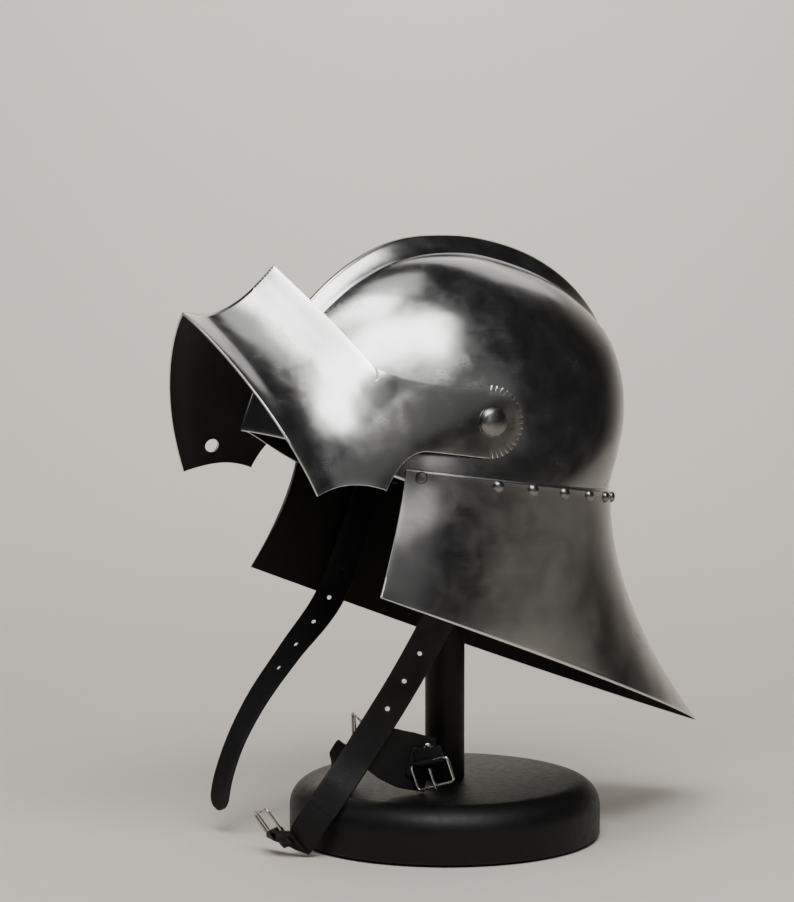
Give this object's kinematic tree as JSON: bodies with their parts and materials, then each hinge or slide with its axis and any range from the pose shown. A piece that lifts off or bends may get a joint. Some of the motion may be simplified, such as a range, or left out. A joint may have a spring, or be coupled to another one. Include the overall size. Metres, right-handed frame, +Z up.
{
  "type": "sallet helmet with display stand",
  "caption": "Steel sallet with a combed skull, a raised hinged visor, a flared riveted tail and black chin straps, held up by a plain round display stand.",
  "frame": {"origin": "centre of the stand base's flat underside", "axes": "+Z up, the helmet's face looks along -Y, the wearer's left is +X"},
  "size_m": [0.22, 0.4216, 0.4242],
  "materials": {
    "polished_steel": "satin polished plate steel with fine polishing lines",
    "rivet_steel": "polished domed rivet heads",
    "black_leather": "black dyed strap leather, satin",
    "buckle_wire": "nickelled buckle wire",
    "black_stand": "turned wood, satin black paint"
  },
  "bodies": {
    "helmet_and_stand": {"skull": "polished_steel", "tail": "polished_steel", "pivot_rivet_left": "rivet_steel", "pivot_rivet_right": "rivet_steel", "flush_rivet_left": "rivet_steel", "flush_rivet_right": "rivet_steel", "tail_rivet_nape": "rivet_steel", "tail_rivet_left_1": "rivet_steel", "tail_rivet_right_1": "rivet_steel", "tail_rivet_left_2": "rivet_steel", "tail_rivet_right_2": "rivet_steel", "tail_rivet_left_3": "rivet_steel", "tail_rivet_right_3": "rivet_steel", "tail_rivet_left_4": "rivet_steel", "tail_rivet_right_4": "rivet_steel", "tail_rivet_left_5": "rivet_steel", "tail_rivet_right_5": "rivet_steel", "tail_rivet_left_6": "rivet_steel", "tail_rivet_right_6": "rivet_steel", "tail_rivet_left_7": "rivet_steel", "tail_rivet_right_7": "rivet_steel", "stand_base": "black_stand", "stand_post": "black_stand", "chin_strap_left": "black_leather", "chin_strap_right": "black_leather", "chin_pad": "black_leather", "chin_strap_rear": "black_leather", "buckle_front_frame": "buckle_wire", "buckle_front_loop": "black_leather", "buckle_front_prong": "buckle_wire", "buckle_side_frame": "buckle_wire", "buckle_side_loop": "black_leather", "buckle_side_prong": "buckle_wire", "buckle_rear_frame": "buckle_wire", "buckle_rear_loop": "black_leather", "buckle_rear_prong": "buckle_wire"},
    "visor": {"visor": "polished_steel"}
  },
  "joints": [
    {"name": "visor_hinge", "type": "hinge", "parent": "helmet_and_stand", "child": "visor", "pos_m": [0, -0.0206, 0.29972], "axis": [1, 0, 0], "range_deg": [0, 40]}
  ]
}
